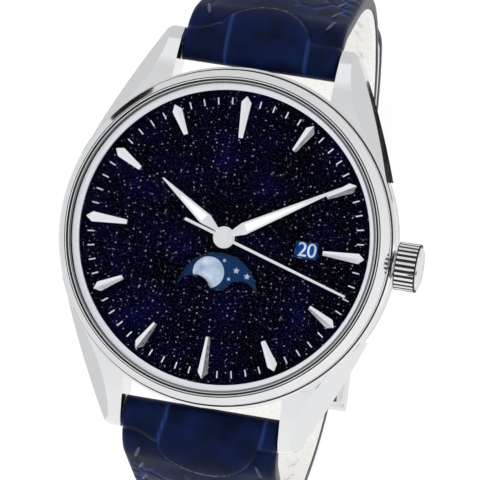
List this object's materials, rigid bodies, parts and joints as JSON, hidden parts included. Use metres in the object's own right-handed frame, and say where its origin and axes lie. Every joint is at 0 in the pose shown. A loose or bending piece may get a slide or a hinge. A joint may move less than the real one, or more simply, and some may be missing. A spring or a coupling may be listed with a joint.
{
  "type": "moon phase wristwatch",
  "caption": "Round self-winding dress watch with a moon phase, date window, dart markers and faceted hands, on an embossed leather strap closed with a tang buckle.",
  "frame": {"origin": "axis of the hands at the outer face of the case back", "axes": "+Z out of the dial, +Y towards 12, +X towards 3 and the crown"},
  "size_m": [0.0452, 0.0684, 0.0571],
  "materials": {
    "polished_steel": "polished",
    "steel": "satin",
    "gilt_brass": "satin",
    "rhodium_brass": "circular grained and striped",
    "blue_steel": "polished",
    "sapphire": "clear",
    "ruby": "polished",
    "aventurine_dial": "glittering lacquer",
    "date_disc": "matte",
    "moon_disc": "matte",
    "moon_silver": "satin",
    "lume": "matte",
    "gasket_rubber": "matte",
    "gasket_nylon": "satin",
    "holder": "satin",
    "leather": "glossy, embossed with scales"
  },
  "bodies": {
    "case": {"mid_case": "polished_steel", "bezel": "polished_steel", "crystal": "sapphire", "crystal_gasket": "gasket_nylon", "rehaut_ring": "polished_steel", "case_back": "polished_steel", "back_crystal": "sapphire", "back_gasket": "gasket_rubber", "crown_tube": "polished_steel", "dial": "aventurine_dial", "hour_markers": "polished_steel", "minute_marks": "moon_silver", "main_plate": "rhodium_brass", "train_bridge": "rhodium_brass", "balance_cock": "rhodium_brass", "pallet_bridge": "rhodium_brass", "bridge_screws": "blue_steel", "jewel_bearings": "ruby", "movement_holder": "holder", "hairspring": "blue_steel", "rotor_bearing": "steel", "strap_short": "leather", "strap_long": "leather", "lug_spring_bars": "steel", "buckle_spring_bar": "steel", "buckle_frame": "polished_steel", "fixed_keeper": "leather"},
    "seconds": {"fourth_wheel": "gilt_brass", "seconds_hand": "polished_steel"},
    "third": {"third_wheel": "gilt_brass"},
    "minute": {"centre_wheel": "gilt_brass", "cannon_pinion": "steel", "minute_hand": "polished_steel", "minute_hand_lume": "lume"},
    "escape": {"escape_wheel": "steel"},
    "barrel": {"mainspring_barrel": "gilt_brass", "mainspring": "steel"},
    "motion": {"minute_wheel": "gilt_brass"},
    "hour": {"hour_wheel": "gilt_brass", "hour_hand": "polished_steel", "hour_hand_lume": "lume"},
    "idler": {"calendar_idler": "gilt_brass"},
    "date_drive": {"date_drive_wheel": "gilt_brass"},
    "moon_drive": {"moon_drive_wheel": "gilt_brass"},
    "date": {"date_ring": "date_disc"},
    "moon": {"moon_disc": "moon_disc", "moon_figures": "moon_silver"},
    "rotor": {"rotor": "gilt_brass"},
    "balance": {"balance_wheel": "gilt_brass"},
    "pallet": {"pallet_fork": "steel"},
    "crown_slide": {"crown_gasket": "gasket_rubber"},
    "crown": {"crown": "polished_steel", "winding_stem": "steel"},
    "winding_gears": {"clutch_wheel": "steel", "winding_pinion": "steel"},
    "crown_wheel": {"crown_wheel": "steel"},
    "ratchet": {"ratchet_wheel": "steel", "barrel_arbor": "steel"},
    "keeper": {"free_keeper": "leather"},
    "tang": {"buckle_tang": "polished_steel"}
  },
  "joints": [
    {"name": "seconds_turn", "type": "hinge", "parent": "case", "child": "seconds", "pos_m": [0, 0, 0], "axis": [0, 0, -1], "continuous": true},
    {"name": "third_turn", "type": "hinge", "parent": "case", "child": "third", "pos_m": [0.00225, -0.0039, 0], "axis": [0, 0, -1], "continuous": true},
    {"name": "minute_turn", "type": "hinge", "parent": "case", "child": "minute", "pos_m": [0, 0, 0], "axis": [0, 0, -1], "continuous": true},
    {"name": "escape_turn", "type": "hinge", "parent": "case", "child": "escape", "pos_m": [-0.00372, -0.00215, 0], "axis": [0, 0, -1], "continuous": true},
    {"name": "barrel_turn", "type": "hinge", "parent": "case", "child": "barrel", "pos_m": [0.00312, 0.0054, 0], "axis": [0, 0, -1], "continuous": true},
    {"name": "minute_wheel_turn", "type": "hinge", "parent": "case", "child": "motion", "pos_m": [0.00271, 0.00098, 0], "axis": [0, 0, -1], "continuous": true},
    {"name": "hour_turn", "type": "hinge", "parent": "case", "child": "hour", "pos_m": [0, 0, 0], "axis": [0, 0, -1], "continuous": true},
    {"name": "idler_turn", "type": "hinge", "parent": "case", "child": "idler", "pos_m": [-0.00221, 0.00185, 0], "axis": [0, 0, -1], "continuous": true},
    {"name": "date_drive_turn", "type": "hinge", "parent": "case", "child": "date_drive", "pos_m": [-0.00586, 0.00356, 0], "axis": [0, 0, -1], "continuous": true},
    {"name": "moon_drive_turn", "type": "hinge", "parent": "case", "child": "moon_drive", "pos_m": [-0.00422, -0.00164, 0], "axis": [0, 0, -1], "continuous": true},
    {"name": "date_turn", "type": "hinge", "parent": "case", "child": "date", "pos_m": [0, 0, 0], "axis": [0, 0, -1], "continuous": true},
    {"name": "moon_turn", "type": "hinge", "parent": "case", "child": "moon", "pos_m": [0, -0.00695, 0], "axis": [0, 0, -1], "continuous": true},
    {"name": "rotor_turn", "type": "hinge", "parent": "case", "child": "rotor", "pos_m": [0, 0, 0], "axis": [0, 0, -1], "continuous": true},
    {"name": "balance_swing", "type": "hinge", "parent": "case", "child": "balance", "pos_m": [-0.00486, -0.0064, 0.0041], "axis": [0, 0, 1], "range_deg": [-270, 270]},
    {"name": "pallet_rock", "type": "hinge", "parent": "case", "child": "pallet", "pos_m": [-0.00428, -0.00426, 0.0049], "axis": [0, 0, 1], "range_deg": [-5, 5]},
    {"name": "crown_pull", "type": "slide", "parent": "case", "child": "crown_slide", "axis": [1, 0, 0], "range_m": [0, 0.0009]},
    {"name": "crown_turn", "type": "hinge", "parent": "crown_slide", "child": "crown", "pos_m": [0.0212, 0, 0.0049], "axis": [1, 0, 0], "continuous": true},
    {"name": "winding_turn", "type": "hinge", "parent": "case", "child": "winding_gears", "pos_m": [0.01, 0, 0.0049], "axis": [1, 0, 0], "continuous": true},
    {"name": "crown_wheel_turn", "type": "hinge", "parent": "case", "child": "crown_wheel", "pos_m": [0.00846, 0, 0.0026], "axis": [0, 0, 1], "continuous": true},
    {"name": "ratchet_turn", "type": "hinge", "parent": "case", "child": "ratchet", "pos_m": [0.00312, 0.0054, 0.0026], "axis": [0, 0, 1], "continuous": true},
    {"name": "keeper_slide", "type": "hinge", "parent": "case", "child": "keeper", "pos_m": [0, 0.01111, -0.01953], "axis": [1, 0, 0], "range_deg": [0, 46]},
    {"name": "tang_lift", "type": "hinge", "parent": "case", "child": "tang", "pos_m": [0, -0.007, -0.04153], "axis": [1, 0, 0], "range_deg": [0, 8]}
  ],
  "couplings": [
    {"joint": "third_turn", "follows": "seconds_turn", "ratio": -0.13333},
    {"joint": "minute_turn", "follows": "seconds_turn", "ratio": 0.016667},
    {"joint": "escape_turn", "follows": "seconds_turn", "ratio": -12},
    {"joint": "barrel_turn", "follows": "seconds_turn", "ratio": -0.002381},
    {"joint": "minute_wheel_turn", "follows": "seconds_turn", "ratio": -0.0055556},
    {"joint": "hour_turn", "follows": "seconds_turn", "ratio": 0.0013889},
    {"joint": "idler_turn", "follows": "seconds_turn", "ratio": -0.00092593},
    {"joint": "date_drive_turn", "follows": "seconds_turn", "ratio": 0.00069444},
    {"joint": "moon_drive_turn", "follows": "seconds_turn", "ratio": 0.00069444},
    {"joint": "winding_turn", "follows": "crown_turn", "ratio": 1},
    {"joint": "crown_wheel_turn", "follows": "crown_turn", "ratio": 0.53846},
    {"joint": "ratchet_turn", "follows": "crown_turn", "ratio": -0.3141}
  ]
}
